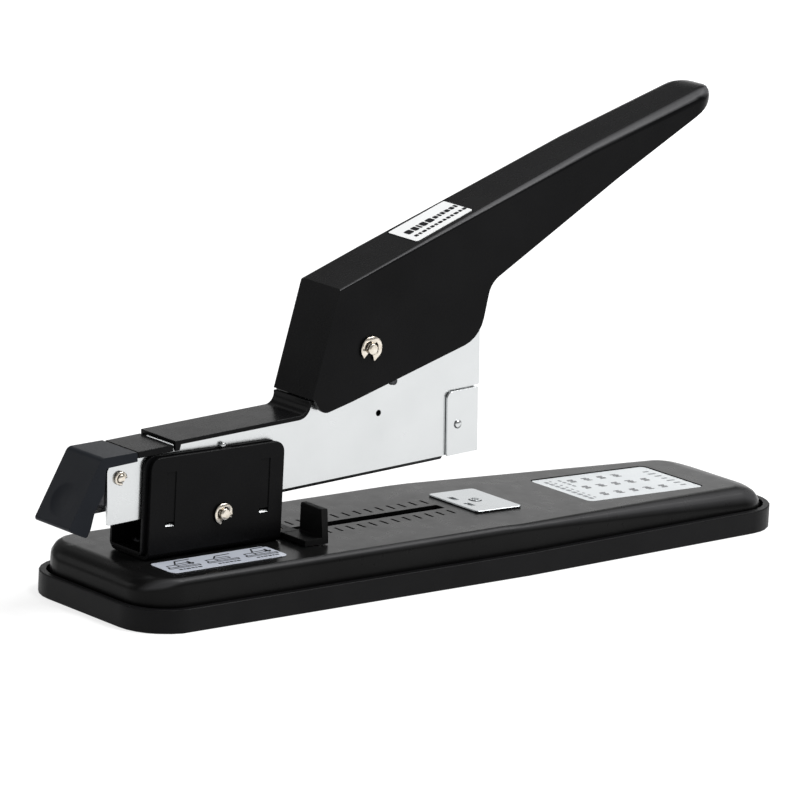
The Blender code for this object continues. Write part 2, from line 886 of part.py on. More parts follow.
arm_hollow = [
    (-60.0, -20.0),
    (130.0, -20.0),
    (130.0, 25.7),
    (ARM_FRONT - ARM_SHEET, 27.7),
    (ARM_FRONT - ARM_SHEET, 70.0),
    (40.5, 70.0),
    (33.5, ARM_TOP - ARM_SHEET),
    (-18.0, ARM_TOP - ARM_SHEET),
    (-19.0, 24.9),
    (-33.0, 24.9),
    (-34.0, 23.1),
    (-60.0, 23.1),
]
inner = ARM_HALF - ARM_SHEET
combine(arm_channel, prism("arm_hollow", arm_hollow, -inner, inner, "Y", None, arm_axis))
ARM_HOLES = (
    (0.0, 0.0, PIN_HOLE),
    (HANDLE_PIN_U, HANDLE_PIN_V, PIN_HOLE),
    (LATCH_PIN_U, LATCH_PIN_V, 1.8),
    (71.35, 23.45, 1.15),
    (77.2, 34.3, 1.6),
)
combine(arm_channel, rods("arm_holes", PIN_HOLE, ARM_HOLES, -20, 20, "Y", arm_axis, 20))
combine(arm_channel, block("nose_rivet_slot", (105.0, -20, 12.1), (130, 20, 15.5), None, arm_axis))

rear_cover_side = rounded(
    [
        (-35.3, 27.5, 0.0),
        (-35.3, 25.2, 0.0),
        (-19.85, 25.2, 0.0),
        (-19.85, 27.5, 0.0),
    ],
    3,
)
rear_cover = prism("rear_cover", rear_cover_side, -9.5, 9.5, "Y", BLACK_PAINT, arm_axis)
soften(rear_cover, 0.5, 2)
combine(
    rear_cover, block("rear_cover_inside", (-40, -8.3, 20), (-10, 8.3, 26.3), None, arm_axis)
)

cover_side = rounded(
    [
        (-19.5, 28.85, 0.0),
        (-19.5, 25.3, 0.0),
        (-17.6, 25.3, 0.0),
        (-17.0, 27.3, 0.0),
        (39.65, 27.3, 5.3),
        (39.6, 33.5, 0.0),
        (38.35, 33.5, 0.0),
        (38.35, 28.85, 3.8),
    ],
    8,
)
arm_cover = prism("arm_cover", cover_side, -COVER_HALF, COVER_HALF, "Y", BLACK_PAINT, arm_axis)
combine(arm_cover, block("cover_inside", (-30, -8.7, 10), (60, 8.7, 27.7), None, arm_axis))

lathe(
    "latch_pin",
    pin_profile(9.15, 1.5, 1.1, 8.0, 0.8),
    (LATCH_PIN_U, 0, LATCH_PIN_V),
    "Y",
    NICKEL,
    arm_axis,
    sides=20,
)
latch_clip = clip_outline(LATCH_PIN_U, LATCH_PIN_V, 2.45, -40.0, 35.0, 1.4)
prism("latch_clip_near", latch_clip, -8.7, -8.1, "Y", NICKEL, arm_axis)
prism("latch_clip_far", latch_clip, 8.1, 8.7, "Y", NICKEL, arm_axis)
lathe(
    "handle_pin",
    pin_profile(13.0, PIN_RADIUS, 1.5, 11.25, 0.9),
    (HANDLE_PIN_U, 0, HANDLE_PIN_V),
    "Y",
    NICKEL,
    arm_axis,
)
handle_clip = clip_outline(0.0, 0.0, 4.5, -105.0, 33.0)
prism("handle_clip_near", handle_clip, -12.05, -11.35, "Y", NICKEL, handle_axis)
prism("handle_clip_far", handle_clip, 11.35, 12.05, "Y", NICKEL, handle_axis)
for side, where in ((-1, "near"), (1, "far")):
    rod(
        f"handle_bumper_{where}",
        1.35,
        (77.2, 34.3),
        side * 8.0 - 1.25,
        side * 8.0 + 1.25,
        "Y",
        DARK_STEEL,
        arm_axis,
        16,
    )

# ------------------------------------------------------------------ handle

TAN = math.tan(TOP_SLOPE)


def top_line(x):
    """Height of the handle's top surface above the pin, level frame."""
    z = TOP_DISTANCE / math.cos(TOP_SLOPE) + min(x, TAIL_KNEE) * TAN
    return z + max(0.0, x - TAIL_KNEE) * math.tan(TAIL_SLOPE)


def round_off(x, end, length, depth):
    """How far a surface has pulled in at x, on a quarter ellipse that closes at end."""
    part = min(0.985, max(0.0, (x - end + length) / length))
    return depth * (1.0 - math.sqrt(1.0 - part * part))


def handle_ring(x, inset, tail):
    """Cross section of the handle body at x, leaning like the rear face."""
    half = HANDLE_HALF - inset - round_off(x, tail, TAIL_ROUND, TAIL_ROUND)
    corner = 1.0 + 3.8 * max(0.0, min(1.0, (x - 10.0) / 135.0)) - inset * 0.3
    corner = min(corner, half * 0.7)
    top = top_line(x) - inset - round_off(x, tail, TAIL_FALL, TAIL_DROP)
    low = -40.0
    lean = 0.266
    foot = x - (top - low) * lean
    out = [(foot, -half, low), (foot, half, low)]
    steps = 4
    for k in range(steps + 1):
        a = math.pi / 2 * k / steps
        y = half - corner + corner * math.cos(a)
        z = top - corner + corner * math.sin(a)
        out.append((x + (z - top) * lean, y, z))
    for k in range(steps + 1):
        a = math.pi / 2 * (1 - k / steps)
        y = -(half - corner + corner * math.cos(a))
        z = top - corner + corner * math.sin(a)
        out.append((x + (z - top) * lean, y, z))
    return out


def handle_stations(start, tail):
    """Stations along the handle, closer together where the tail rounds off."""
    xs = [start, 10.0, 45.0, 75.0, TAIL_KNEE, 125.0]
    for part in (0.0, 0.22, 0.4, 0.56, 0.69, 0.8, 0.89, 0.95, 1.0):
        xs.append(tail - TAIL_FALL * (1.0 - part))
    return xs


handle_side = rounded(
    [
        (-28.5, -15.9, 0.0),
        (-23.9, -15.9, 0.8),
        (-21.3, -19.6, 1.0),
        (-19.3, -21.6, 4.0),
        (-7.0, -18.4, 0.0),
        (50.0, -1.5, 12.0),
        (53.9, 18.0, 9.0),
        (102.7, 46.0, 0.0),
        (111.7, 51.1, 0.0),
        (157.0, 75.3, 1.5),
        (167.0, 95.0, 0.0),
        (100.0, 95.0, 0.0),
        (-16.0, 95.0, 0.0),
    ],
    5,
)
handle_body = loft(
    "handle_shell",
    [handle_ring(x, 0.0, HANDLE_TAIL) for x in handle_stations(HANDLE_REAR, HANDLE_TAIL)],
    BLACK_PAINT,
    handle_axis,
    smooth=True,
)
combine(
    handle_body,
    prism("handle_trim", handle_side, -20.0, 20.0, "Y", None, handle_axis),
    "INTERSECT",
)
combine(
    handle_body,
    loft(
        "handle_inside",
        [
            handle_ring(x, HANDLE_SHEET, HANDLE_TAIL - HANDLE_SHEET)
            for x in handle_stations(HANDLE_REAR + HANDLE_SHEET * 1.05, HANDLE_TAIL - HANDLE_SHEET)
        ],
        None,
        handle_axis,
    ),
)
combine(
    handle_body,
    block("handle_end_relief", (-40, -9.1, -45), (-12, 9.1, -16.6), None, handle_axis),
)
combine(handle_body, rod("handle_pin_hole", PIN_HOLE, (0, 0), -20, 20, "Y", None, handle_axis))

top_frame = frame(
    "top_frame", (0, 0, TOP_DISTANCE / math.cos(TOP_SLOPE)), -TOP_SLOPE, handle_axis
)
label_plan = rounded([(22.5, -8.1, 0.8), (49.0, -8.1, 0.8), (49.0, 8.1, 0.8), (22.5, 8.1, 0.8)], 3)
prism("handle_label", label_plan, 0.04, 0.24, "Z", LABEL_SILVER, top_frame)
combine(handle_body, rod("drive_rivet_hole", 2.1, (37.0, 0), -6, 3, "Z", None, top_frame))
lathe(
    "drive_arm_rivet",
    [(0, -0.1), (1.8, -0.1), (1.8, -3.9), (2.9, -3.9), (2.4, -4.8), (0, -4.8)],
    (37.0, 0, 0),
    "Z",
    DARK_STEEL,
    top_frame,
    sides=16,
)

DRIVE_TOP = TOP_DISTANCE - HANDLE_SHEET - 0.5


def drive_top(x):
    """Upper edge of the drive arm, parallel to the handle's top."""
    return DRIVE_TOP / math.cos(TOP_SLOPE) + x * TAN


drive_side = rounded(
    [
        (-8.0, -4.0, 4.0),
        (4.0, -8.0, 5.0),
        (42.2, 6.2, 3.0),
        (45.7, 8.6, 2.0),
        (43.6, 14.6, 2.0),
        (37.5, drive_top(37.5), 2.0),
        (-4.0, drive_top(-4.0), 2.0),
    ],
    4,
)
drive_arm = prism("drive_arm", drive_side, -4.2, 4.2, "Y", DARK_STEEL, handle_axis)
drive_hollow = [
    (-30.0, -30.0),
    (70.0, -30.0),
    (70.0, drive_top(70.0) - 1.4),
    (-30.0, drive_top(-30.0) - 1.4),
]
combine(drive_arm, prism("drive_hollow", drive_hollow, -3.0, 3.0, "Y", None, handle_axis))
combine(drive_arm, rod("drive_pivot_hole", PIN_HOLE, (0, 0), -20, 20, "Y", None, handle_axis))
combine(
    drive_arm,
    rod("drive_pin_hole", 1.65, (DRIVE_PIN_X, DRIVE_PIN_Z), -20, 20, "Y", None, handle_axis),
)
combine(drive_arm, rod("drive_arm_rivet_hole", 2.1, (37.0, 0), -6, 3, "Z", None, top_frame))
rod("drive_pin", 1.4, (DRIVE_PIN_X, DRIVE_PIN_Z), -6.1, 6.1, "Y", NICKEL, handle_axis, 20)

torsion = []
for k in range(43):
    t = k / 12
    a = 2 * math.pi * t + math.radians(20)
    torsion.append((3.3 * math.cos(a), -2.1 + 4.2 * k / 42, 3.3 * math.sin(a)))
torsion.insert(0, (15.0, -2.1, 5.6))
torsion.append((-9.0, 2.1, -9.5))
wire("handle_spring", torsion, 0.5, SPRING_STEEL, handle_axis)

# ------------------------------------------------------------------ driver

blade = block(
    "driver_blade",
    (BLADE_BACK, -6.2, BLADE_TIP),
    (BLADE_FRONT, 6.2, BLADE_TOP),
    SPRING_STEEL,
    arm_axis,
)
carrier = block("driver_carrier", (105.0, -5.8, 51.2), (113.1, 5.8, BLADE_TOP), DARK_STEEL, arm_axis)
combine(carrier, block("carrier_inside", (100, -4.6, 40), (112.3, 4.6, 70), None, arm_axis))
carrier_slot = rounded(
    [(106.0, 54.83, 1.5), (110.1, 54.83, 1.5), (110.1, 58.19, 1.5), (106.0, 58.19, 1.5)], 4
)
combine(carrier, prism("carrier_slot", carrier_slot, -20, 20, "Y", None, arm_axis))
blade_holes = rods("driver_rivet_holes", 1.1, ((0, 53.3), (0, 59.8)), 100, 130, "X", arm_axis, 12)
combine(carrier, blade_holes)
combine(blade, blade_holes)
for k, v in enumerate((53.3, 59.8)):
    lathe(
        f"driver_rivet_{k + 1}",
        [
            (0, 115.4),
            (1.3, 115.4),
            (1.6, 114.7),
            (0.95, 114.7),
            (0.95, 112.1),
            (1.6, 112.1),
            (1.3, 111.5),
            (0, 111.5),
        ],
        (0, 0, v),
        "X",
        NICKEL,
        arm_axis,
        sides=12,
    )

# ------------------------------------------------------------------ magazine

rail_side = rounded(
    [
        (-31.0, 3.9, 0.4),
        (4.0, 3.9, 0.8),
        (5.5, 2.9, 0.4),
        (113.1, 2.9, 0.3),
        (113.1, 13.1, 0.3),
        (-31.0, 13.1, 0.5),
    ],
    3,
)
rail = prism("magazine_rail", rail_side, -5.5, 5.5, "Y", DARK_STEEL, arm_axis)
combine(rail, block("rail_inside", (-60, -4.5, -10), (130, 4.5, 12.1), None, arm_axis))
floor_side = [(6.0, 1.4), (100.9, 1.4), (101.5, 2.0), (101.5, 2.6), (6.0, 2.6)]
prism("magazine_floor", floor_side, -6.45, 6.45, "Y", DARK_STEEL, arm_axis)
nose_side = rounded(
    [(101.9, 2.75, 0.4), (115.9, 2.75, 0.4), (115.9, 26.2, 0.4), (101.9, 26.2, 2.6)], 4
)
nose = prism("nose_plate", nose_side, -8.85, 8.85, "Y", ZINC, arm_axis)
soften(nose, 0.3, 1)
combine(nose, block("nose_inside", (90, -8.05, -5), (114.9, 8.05, 40), None, arm_axis))
combine(
    nose,
    rod(
        "nose_rivet_hole", 1.3, (NOSE_RIVET_U, NOSE_RIVET_V), -20, 20, "Y", None, arm_axis, 16
    ),
)
NEAR_RIVET = [(0, 9.5), (1.2, 9.45), (1.6, 9.1), (1.1, 9.1), (1.1, 7.0), (0, 7.0)]
FAR_RIVET = [(radius, -height) for radius, height in reversed(NEAR_RIVET)]
for profile, where in ((NEAR_RIVET, "near"), (FAR_RIVET, "far")):
    lathe(
        f"nose_rivet_{where}",
        profile,
        (NOSE_RIVET_U, 0, NOSE_RIVET_V),
        "Y",
        ZINC,
        arm_axis,
        sides=16,
    )
tail_side = rounded(
    [(-37.2, 4.0, 1.0), (-31.4, 4.0, 0.3), (-31.4, 13.15, 0.5), (-37.2, 13.15, 1.0)], 3
)
prism("magazine_tail", tail_side, -5.5, 5.5, "Y", DARK_STEEL, arm_axis)
rod("pusher_rod", 0.7, (0, ROD_V), -36.2, 103.5, "X", NICKEL, arm_axis, 12)
block("rod_block", (-36.8, -4.0, 13.7), (-31.4, 4.0, 17.2), DARK_STEEL, arm_axis)
combine(
    bpy.data.objects["rod_block"],
    rod("rod_block_bore", 0.9, (0, ROD_V), -50, -20, "X", None, arm_axis, 12),
)
pusher = block("pusher", (57.6, -6.4, 4.1), (71.5, 6.4, 16.9), BLACK_PLASTIC, arm_axis)
combine(pusher, block("pusher_inside", (50, -5.8, 0), (80, 5.8, 13.45), None, arm_axis))
combine(pusher, rod("pusher_bore", 0.95, (0, ROD_V), 40, 80, "X", None, arm_axis, 12))
coil_points = [(x, y, z) for x, y, z in coil(11, 1.45, -30.4, 56.6, 8)]
pusher_coil = [(z, x, y + ROD_V) for x, y, z in coil_points]
wire("pusher_spring", pusher_coil, 0.35, SPRING_STEEL, arm_axis)
strip_section = [
    (-6.5, 4.0),
    (-5.85, 4.0),
    (-5.85, 13.4),
    (5.85, 13.4),
    (5.85, 4.0),
    (6.5, 4.0),
    (6.5, 14.0),
    (-6.5, 14.0),
]
prism("staple_strip", strip_section, 71.9, 112.9, "X", ZINC, arm_axis)

# ------------------------------------------------------------------ latch

latch_side = rounded(
    [
        (-50.65, 27.9, 2.6),
        (-65.0, 4.6, 1.2),
        (-57.2, 0.8, 1.0),
        (-55.5, 3.7, 0.5),
        (-53.85, 9.1, 1.0),
        (-49.7, 15.7, 2.0),
        (-48.8, 24.1, 1.2),
        (-35.6, 24.3, 0.3),
        (-35.65, 27.6, 0.5),
    ],
    4,
)
latch_side = [(u - LATCH_PIN_U, v - LATCH_PIN_V) for u, v in latch_side]
hood = prism("magazine_latch", latch_side, -COVER_HALF, COVER_HALF, "Y", BLACK_PLASTIC, latch_axis)
soften(hood, 0.6, 2, 60.0)
latch_inside = [
    (-50.0, 26.2),
    (-63.7, 4.4),
    (-60.5, -1.2),
    (-40.0, -1.2),
    (-30.0, 9.5),
    (-30.0, 26.1),
]
latch_inside = [(u - LATCH_PIN_U, v - LATCH_PIN_V) for u, v in latch_inside]
combine(hood, prism("latch_inside", latch_inside, -8.4, 8.4, "Y", None, latch_axis))


def dimple_rings():
    """Rings of a shallow lens that sinks into the sloping rear face of the hood."""
    middle = Vector((THUMB_U, 0.0, THUMB_V))
    down = Vector((-14.35, 0.0, -23.3)).normalized()
    across = Vector((0.0, 1.0, 0.0))
    outward = across.cross(down)
    rings = []
    for share in (1.15, 1.0, 0.85, 0.65, 0.42, 0.18):
        height = THUMB_DEPTH * (share * share - 1.0)
        ring = []
        for k in range(28):
            a = 2 * math.pi * k / 28
            spoke = across * math.cos(a) + down * math.sin(a)
            ring.append(tuple(middle + outward * height + spoke * THUMB_RADIUS * share))
        rings.append(ring)
    return rings


combine(hood, loft("thumb_dimple", dimple_rings(), None, latch_axis))
hook_side = rounded(
    [
        (-15.0, -8.0, 1.0),
        (-10.0, -9.8, 1.0),
        (-3.2, -9.5, 1.0),
        (-1.0, -4.0, 1.0),
        (10.0, -3.0, 0.5),
        (10.2, -5.6, 0.4),
        (12.2, -5.6, 0.4),
        (12.2, 2.4, 1.0),
        (-5.0, 3.4, 2.0),
        (-11.0, -1.5, 1.0),
    ],
    3,
)
hook = prism("latch_hook", hook_side, -6.2, 6.2, "Y", DARK_STEEL, latch_axis)
combine(hook, block("hook_inside", (-3.6, -5.0, -20), (30, 5.0, 20), None, latch_axis))
combine(hook, rod("hook_pin_hole", 1.8, (0, 0), -20, 20, "Y", None, latch_axis, 16))
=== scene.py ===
"""Looks of the long reach stapler: finishes, printed marks, fine edges, light and camera."""

import json
import math

import bmesh
import bpy
from mathutils import Matrix, Vector


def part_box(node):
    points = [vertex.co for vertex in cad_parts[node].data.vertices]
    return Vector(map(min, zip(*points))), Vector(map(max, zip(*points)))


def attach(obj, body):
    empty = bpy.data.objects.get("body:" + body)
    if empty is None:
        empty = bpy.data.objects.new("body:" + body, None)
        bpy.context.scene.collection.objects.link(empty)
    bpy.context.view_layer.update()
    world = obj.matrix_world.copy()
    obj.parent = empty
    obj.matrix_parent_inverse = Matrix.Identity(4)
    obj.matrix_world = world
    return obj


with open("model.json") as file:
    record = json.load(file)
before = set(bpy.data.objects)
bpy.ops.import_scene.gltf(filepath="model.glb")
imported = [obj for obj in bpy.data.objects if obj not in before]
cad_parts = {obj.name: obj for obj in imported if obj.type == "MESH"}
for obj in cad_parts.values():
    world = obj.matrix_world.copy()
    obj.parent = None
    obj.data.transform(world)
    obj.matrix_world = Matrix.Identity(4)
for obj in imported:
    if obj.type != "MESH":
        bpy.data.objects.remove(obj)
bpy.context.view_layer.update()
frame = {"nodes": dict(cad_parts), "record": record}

MM = 0.001
NODES = frame["nodes"]

# ---------------------------------------------------------------- camera

TARGET = Vector((-0.0121, 0.0, 0.0597))
DISTANCE = 2.255
AZIMUTH = math.radians(-39.74)
ELEVATION = math.radians(13.46)
ROLL = math.radians(2.87)
LENS = 287.1
CLIP_NEAR = 0.05
CLIP_FAR = 50.0

back = Vector(
    (
        math.sin(AZIMUTH) * math.cos(ELEVATION),
        -math.cos(AZIMUTH) * math.cos(ELEVATION),
        math.sin(ELEVATION),
    )
)
level_right = Vector((math.cos(AZIMUTH), math.sin(AZIMUTH), 0.0))
level_up = back.cross(level_right)
right = level_right * math.cos(ROLL) + level_up * math.sin(ROLL)
up = level_up * math.cos(ROLL) - level_right * math.sin(ROLL)

camera_data = bpy.data.cameras.new("camera")
camera_data.lens = LENS
camera_data.clip_start = CLIP_NEAR
camera_data.clip_end = CLIP_FAR
camera = bpy.data.objects.new("camera", camera_data)
camera.matrix_world = Matrix.Translation(TARGET + back * DISTANCE) @ Matrix(
    (right, up, back)
).transposed().to_4x4()
bpy.context.scene.collection.objects.link(camera)
bpy.context.scene.camera = camera

# ---------------------------------------------------------------- node helpers


class Look:
    """A node material under construction, with its coordinates in millimetres."""

    def __init__(self, name):
        self.material = bpy.data.materials.new(name)
        self.material.use_nodes = True
        self.tree = self.material.node_tree
        self.shader = self.tree.nodes["Principled BSDF"]
        coordinates = self.add("ShaderNodeTexCoord")
        scale = self.add("ShaderNodeMapping")
        scale.inputs["Scale"].default_value = (1000.0, 1000.0, 1000.0)
        self.link(coordinates.outputs["Object"], scale.inputs["Vector"])
        self.place = scale.outputs["Vector"]
        self.facing = coordinates.outputs["Normal"]

    def add(self, kind):
        return self.tree.nodes.new(kind)

    def link(self, source, target):
        self.tree.links.new(source, target)

    def set(self, **values):
        """Constants of the shader, such as Roughness=0.4; spaces are underscores."""
        for name, value in values.items():
            self.shader.inputs[name.replace("_", " ")].default_value = value

    def stretched(self, factors, turn=0.0):
        """Coordinates squeezed along some axes, for grain with a direction."""
        node = self.add("ShaderNodeMapping")
        node.inputs["Rotation"].default_value = (0.0, turn, 0.0)
        node.inputs["Scale"].default_value = factors
        self.link(self.place, node.inputs["Vector"])
        return node.outputs["Vector"]

    def noise(self, period, detail=3.0, where=None, roughness=0.5):
        """Noise whose blotches are about this many millimetres across."""
        node = self.add("ShaderNodeTexNoise")
        node.inputs["Scale"].default_value = 1.0 / period
        node.inputs["Detail"].default_value = detail
        node.inputs["Roughness"].default_value = roughness
        self.link(where or self.place, node.inputs["Vector"])
        return node.outputs["Fac"]

    def cells(self, period):
        """Distance to cell centres, for crystal or pebble patterns."""
        node = self.add("ShaderNodeTexVoronoi")
        node.inputs["Scale"].default_value = 1.0 / period
        self.link(self.place, node.inputs["Vector"])
        return node.outputs["Distance"]

    def spread(self, value, low, high, start=0.3, end=0.7):
        """Value from start to end carried to low to high."""
        node = self.add("ShaderNodeMapRange")
        node.inputs["From Min"].default_value = start
        node.inputs["From Max"].default_value = end
        node.inputs["To Min"].default_value = low
        node.inputs["To Max"].default_value = high
        self.link(value, node.inputs["Value"])
        return node.outputs["Result"]

    def maths(self, operation, a, b):
        node = self.add("ShaderNodeMath")
        node.operation = operation
        for slot, value in ((0, a), (1, b)):
            if isinstance(value, (int, float)):
                node.inputs[slot].default_value = value
            else:
                self.link(value, node.inputs[slot])
        return node.outputs["Value"]

    def shoulders(self):
        """Mask for the painted edge highlight: one on rounded edges that face up and to a side, nought on
        flat faces.
        """
        split = self.add("ShaderNodeSeparateXYZ")
        self.link(self.facing, split.inputs["Vector"])
        sideways = self.maths("ABSOLUTE", split.outputs["Y"], 0.0)
        rising = self.spread(sideways, 0.0, 1.0, 0.25, 0.5)
        falling = self.spread(sideways, 1.0, 0.0, 0.78, 0.96)
        upward = self.spread(split.outputs["Z"], 0.0, 1.0, 0.1, 0.35)
        return self.maths("MULTIPLY", self.maths("MULTIPLY", rising, falling), upward)

    def blend(self, share, first, second):
        """Colour between two colours or colour sockets."""
        node = self.add("ShaderNodeMix")
        node.data_type = "RGBA"
        self.link(share, node.inputs["Factor"])
        for name, value in (("A", first), ("B", second)):
            slot = [s for s in node.inputs if s.name == name and s.type == "RGBA"][0]
            if isinstance(value, tuple):
                slot.default_value = (*value, 1.0)
            else:
                self.link(value, slot)
        return [s for s in node.outputs if s.type == "RGBA"][0]

    def colour(self, socket):
        self.link(socket, self.shader.inputs["Base Color"])

    def rough(self, socket):
        self.link(socket, self.shader.inputs["Roughness"])

    def bump(self, height, strength, distance):
        """Relief; distance is in millimetres."""
        node = self.add("ShaderNodeBump")
        node.inputs["Strength"].default_value = strength
        node.inputs["Distance"].default_value = distance * MM
        self.link(height, node.inputs["Height"])
        self.link(node.outputs["Normal"], self.shader.inputs["Normal"])


# ---------------------------------------------------------------- finishes

PAINT_DARK = (0.003, 0.003, 0.0033)
PAINT_LIGHT = (0.005, 0.005, 0.0054)
PAINT_PEEL = 0.9
NIB_PERIOD = 0.9
NIB_LEVELS = (0.72, 0.8)
NIB_SHARE = 0.15
NIB_TONE = (0.02, 0.02, 0.02)
EDGE_HIGHLIGHT_BLUE = 1.04
CRYSTAL_TONE = (0.85, 0.87, 0.88)
ROLLED_SHARE = 0.12
PLASTIC_SPECULAR = 0.085
INK_SPECULAR = 0.05


def satin_paint(name, dark, light, low, high, specular, edge_highlight_level):
    """Sprayed paint: faint orange peel, cloudy sheen, dust nibs, and a painted highlight that makes the
    rounded edges paler.
    """
    look = Look(name)
    cloud = look.noise(22.0, 4.0)
    nibs = look.spread(look.noise(NIB_PERIOD, 2.0), 0.0, 1.0, *NIB_LEVELS)
    tone = look.blend(look.spread(cloud, 0.0, 1.0), dark, light)
    tone = look.blend(look.maths("MULTIPLY", nibs, NIB_SHARE), tone, NIB_TONE)
    # Painted highlight: rounded edges that face up and sideways get a paler colour in place of a reflection
    # of the lamps.
    painted_edge_highlight = look.maths("MULTIPLY", look.shoulders(), look.spread(cloud, 0.8, 1.0))
    look.colour(look.blend(painted_edge_highlight, tone, (edge_highlight_level, edge_highlight_level, edge_highlight_level * EDGE_HIGHLIGHT_BLUE)))
    haze = look.spread(look.noise(7.0, 5.0, roughness=0.65), low, high)
    look.rough(haze)
    peel = look.noise(PAINT_PEEL, 2.0)
    relief = look.maths("ADD", peel, look.maths("MULTIPLY", nibs, NIB_SHARE))
    look.bump(relief, 0.1, 0.03)
    look.set(Specular_IOR_Level=specular)
    return look.material


def moulded_plastic(name, dark, light, low, high, grain=0.45, depth=0.05):
    """Spark eroded mould texture with slightly polished high spots."""
    look = Look(name)
    fine = look.noise(grain, 3.0)
    cloud = look.noise(16.0, 3.0)
    look.colour(look.blend(look.spread(cloud, 0.0, 1.0), dark, light))
    look.rough(look.spread(fine, low, high, 0.35, 0.65))
    pebbles = look.maths("MULTIPLY", look.cells(grain * 2.2), 0.5)
    look.bump(look.maths("ADD", fine, pebbles), 0.3, depth)
    look.set(Specular_IOR_Level=PLASTIC_SPECULAR)
    return look.material


def zinc_plate(name, dark, light, low, high, turn=0.0):
    """Bright zinc: faint rolling lines, soft crystals and finger haze."""
    look = Look(name)
    rolled = look.noise(0.35, 3.0, look.stretched((0.03, 1.0, 1.0), turn))
    flakes = look.cells(3.2)
    haze = look.noise(24.0, 4.0, roughness=0.55)
    lines = look.maths("MULTIPLY", rolled, ROLLED_SHARE)
    share = look.maths("ADD", lines, look.maths("MULTIPLY", haze, 1.0 - ROLLED_SHARE))
    tone = look.blend(look.spread(share, 0.0, 1.0, 0.35, 0.65), dark, light)
    look.colour(look.blend(look.spread(flakes, 0.0, 0.02, 0.2, 0.9), tone, CRYSTAL_TONE))
    sheen = look.maths("ADD", haze, look.maths("MULTIPLY", rolled, 0.2))
    look.rough(look.spread(sheen, low, high, 0.4, 0.8))
    look.bump(rolled, 0.02, 0.01)
    look.set(Metallic=1.0)
    return look.material


def turned_metal(name, dark, light, low, high, grain=0.12):
    """Plated or oiled small steel parts, with fine scratches and a stain or two."""
    look = Look(name)
    scratches = look.noise(grain, 2.0, look.stretched((1.0, 0.08, 1.0)))
    stain = look.noise(1.8, 4.0)
    look.colour(look.blend(look.spread(stain, 0.0, 1.0), dark, light))
    look.rough(look.spread(scratches, low, high))
    look.bump(scratches, 0.1, 0.01)
    look.set(Metallic=1.0)
    return look.material


def printed_film(name, dark, light, low, high):
    """Label stock: even film with a slight mottled coating."""
    look = Look(name)
    mottle = look.noise(0.5, 3.0)
    wash = look.noise(18.0, 3.0)
    share = look.maths("ADD", look.maths("MULTIPLY", mottle, 0.4), look.maths("MULTIPLY", wash, 0.6))
    look.colour(look.blend(look.spread(share, 0.0, 1.0), dark, light))
    look.rough(look.spread(mottle, low, high))
    look.bump(mottle, 0.08, 0.01)
    return look.material


def ink(name, dark, light):
    """Screen printed ink: slightly uneven cover."""
    look = Look(name)
    cover = look.noise(0.18, 3.0)
    look.colour(look.blend(look.spread(cover, 0.0, 1.0), dark, light))
    look.rough(look.spread(cover, 0.45, 0.65))
    look.bump(cover, 0.1, 0.005)
    look.set(Specular_IOR_Level=INK_SPECULAR)
    return look.material


# The last number is the colour of the painted highlight on the rounded edges.
PAINT = satin_paint("satin_black_paint", PAINT_DARK, PAINT_LIGHT, 0.24, 0.30, 0.055, 0.012)
HANDLE_PAINT = satin_paint("handle_black_paint", PAINT_DARK, PAINT_LIGHT, 0.24, 0.30, 0.058, 0.075)
COVER_PAINT = satin_paint("cover_black_paint", PAINT_DARK, PAINT_LIGHT, 0.24, 0.30, 0.055, 0.06)
BASE_PAINT = satin_paint(
    "base_black_paint", (0.004, 0.004, 0.004), (0.006, 0.006, 0.006), 0.26, 0.32, 0.078, 0.042
)
TRAY = moulded_plastic("tray_plastic", (0.004, 0.004, 0.0044), (0.006, 0.006, 0.0065), 0.38, 0.50)
HOOD = moulded_plastic("hood_plastic", (0.008, 0.0095, 0.013), (0.011, 0.013, 0.017), 0.34, 0.46, 0.3, 0.03)
STOP = moulded_plastic("stop_plastic", (0.006, 0.006, 0.006), (0.010, 0.010, 0.010), 0.42, 0.55)
ZINC = zinc_plate(
    "bright_zinc", (0.59, 0.605, 0.61), (0.65, 0.665, 0.67), 0.20, 0.28, math.radians(-2.8)
)
ANVIL_ZINC = zinc_plate("anvil_zinc", (0.34, 0.36, 0.37), (0.46, 0.48, 0.49), 0.18, 0.30)
NICKEL = turned_metal("nickel_plate", (0.62, 0.56, 0.47), (0.80, 0.75, 0.67), 0.16, 0.32)
SPRING = turned_metal("spring_steel", (0.28, 0.28, 0.29), (0.42, 0.42, 0.43), 0.25, 0.42)
DARK_STEEL = turned_metal("blackened_steel", (0.05, 0.05, 0.055), (0.09, 0.09, 0.095), 0.35, 0.55)
DATA_FILM = printed_film("data_film", (0.50, 0.525, 0.54), (0.57, 0.595, 0.605), 0.30, 0.42)
GUIDE_FILM = printed_film("guide_film", (0.45, 0.48, 0.55), (0.54, 0.57, 0.63), 0.30, 0.42)
SILVER_FILM = printed_film("silver_film", (0.76, 0.77, 0.77), (0.84, 0.85, 0.85), 0.34, 0.46)
BLACK_INK = ink("black_ink", (0.006, 0.006, 0.007), (0.02, 0.02, 0.022))
GREY_INK = ink("grey_ink", (0.20, 0.21, 0.22), (0.30, 0.31, 0.32))
TABLE_INK = ink("table_ink", (0.07, 0.07, 0.075), (0.13, 0.13, 0.135))
GROOVE_INK = ink("groove_ink", (0.002, 0.002, 0.002), (0.004, 0.004, 0.004))

